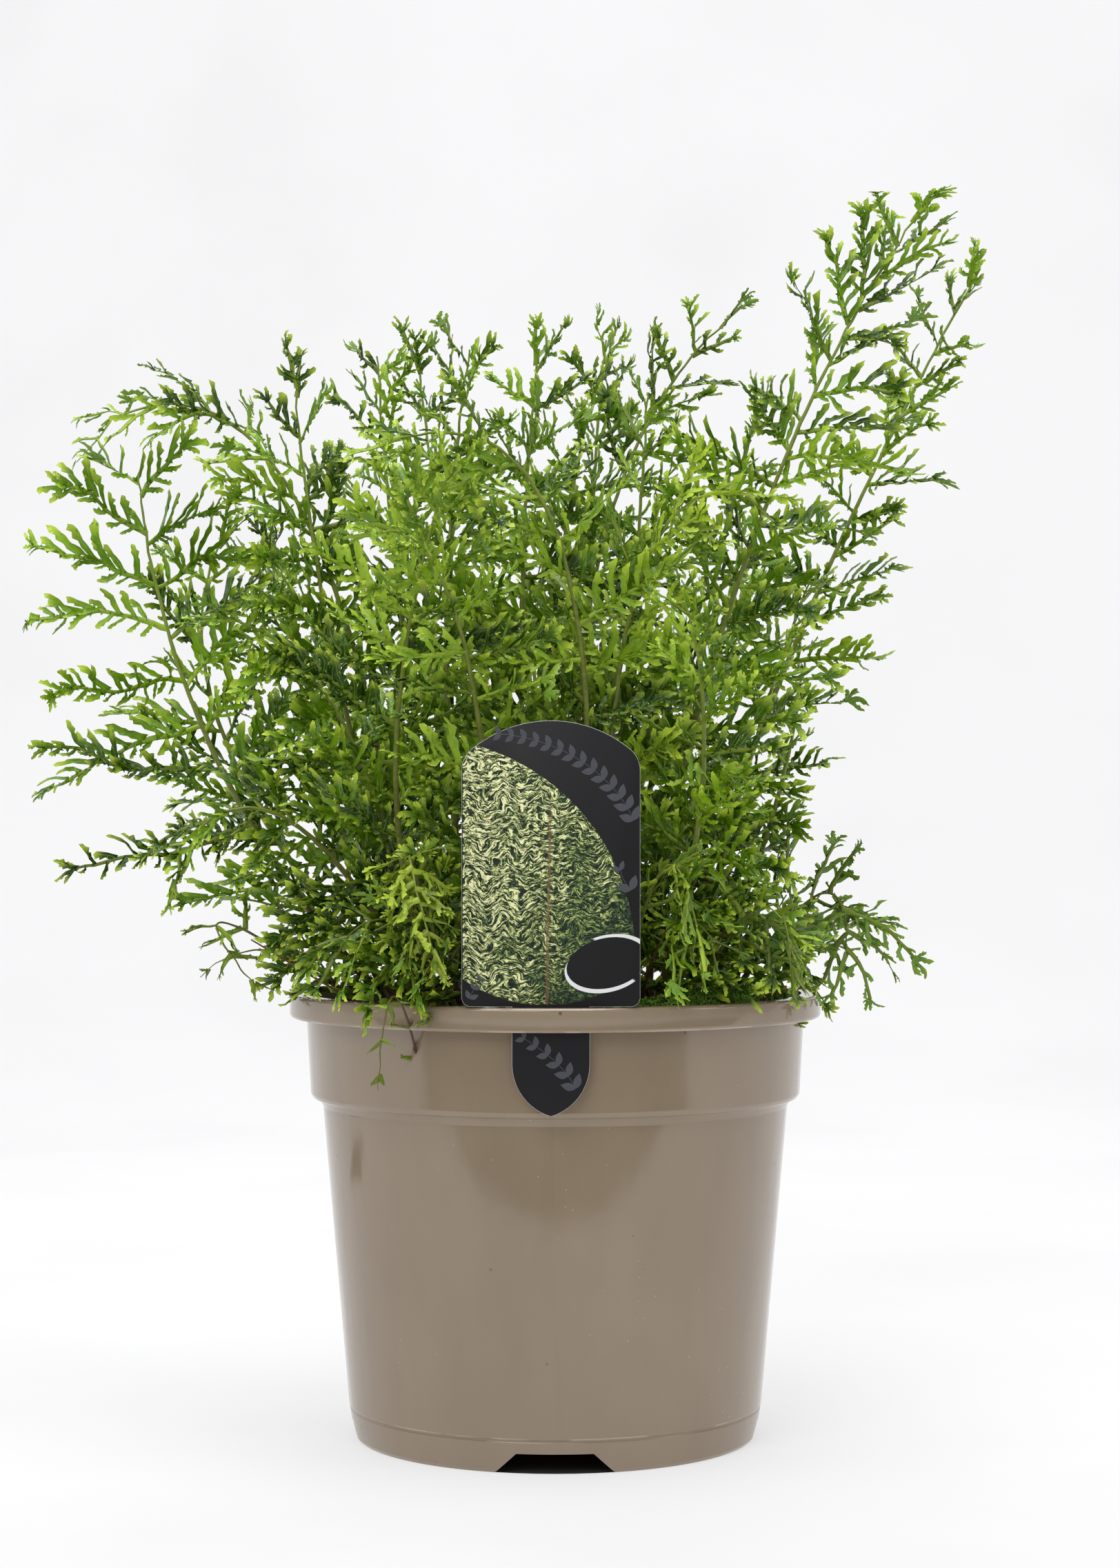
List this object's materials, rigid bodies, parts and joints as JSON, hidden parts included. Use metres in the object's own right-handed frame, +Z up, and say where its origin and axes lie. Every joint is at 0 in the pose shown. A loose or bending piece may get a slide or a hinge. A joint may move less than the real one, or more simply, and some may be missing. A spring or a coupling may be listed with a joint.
{
  "type": "potted fern",
  "caption": "Bushy garden fern with narrow crested fronds in a round tapered plastic nursery pot, with compost, moss and a plant label held in the rim.",
  "frame": {"origin": "middle of the flat pad under the pot's base, on the surface the pot stands on", "axes": "+Z up, -Y towards the side of the rim that holds the plant label"},
  "size_m": [0.347, 0.2605, 0.4397],
  "materials": {
    "pot_plastic": "satin",
    "compost": "matte",
    "label_card": "satin",
    "crown_scales": "matte",
    "moss": "matte",
    "dead_stalk": "matte",
    "leaf": "satin",
    "leaf_young": "satin"
  },
  "bodies": {
    "root": {"pot": "pot_plastic", "root_ball": "compost", "plant_label": "label_card", "crown_left": "crown_scales", "crown_middle": "crown_scales", "crown_right": "crown_scales", "crown_back": "crown_scales", "moss_front_right": "moss", "moss_right": "moss", "moss_front_left": "moss", "moss_back_left": "moss", "moss_back_right": "moss", "dead_stalk_left": "dead_stalk", "dead_stalk_crossing": "dead_stalk", "dead_stalk_right": "dead_stalk", "frond_tall_right": "leaf", "frond_upper_right": "leaf", "frond_rising_right": "leaf", "frond_arching_left": "leaf", "frond_far_left": "leaf", "frond_outer_left": "leaf", "frond_front_left": "leaf", "frond_middle_left": "leaf", "frond_middle_arching": "leaf", "frond_middle": "leaf", "frond_upright_right": "leaf", "frond_pale_arching": "leaf_young", "frond_back_middle": "leaf", "frond_back_right": "leaf", "frond_back_left": "leaf", "frond_tall_left": "leaf", "frond_upright_left": "leaf", "frond_slim_middle": "leaf", "frond_broad_right": "leaf", "frond_side_right": "leaf", "frond_front_right": "leaf", "frond_low_left": "leaf", "frond_inner_left": "leaf", "frond_front_middle": "leaf", "frond_curled_left": "leaf", "frond_young_front": "leaf_young", "frond_low_right": "leaf", "frond_drooping_right": "leaf_young", "frond_rim_right": "leaf_young", "frond_rim_left": "leaf", "frond_rim_front": "leaf", "frond_rear_left": "leaf", "frond_rear_middle": "leaf", "frond_rear_right": "leaf", "frond_rear_low_left": "leaf", "frond_rear_low_right": "leaf", "frond_rear_low_middle": "leaf"}
  },
  "joints": []
}
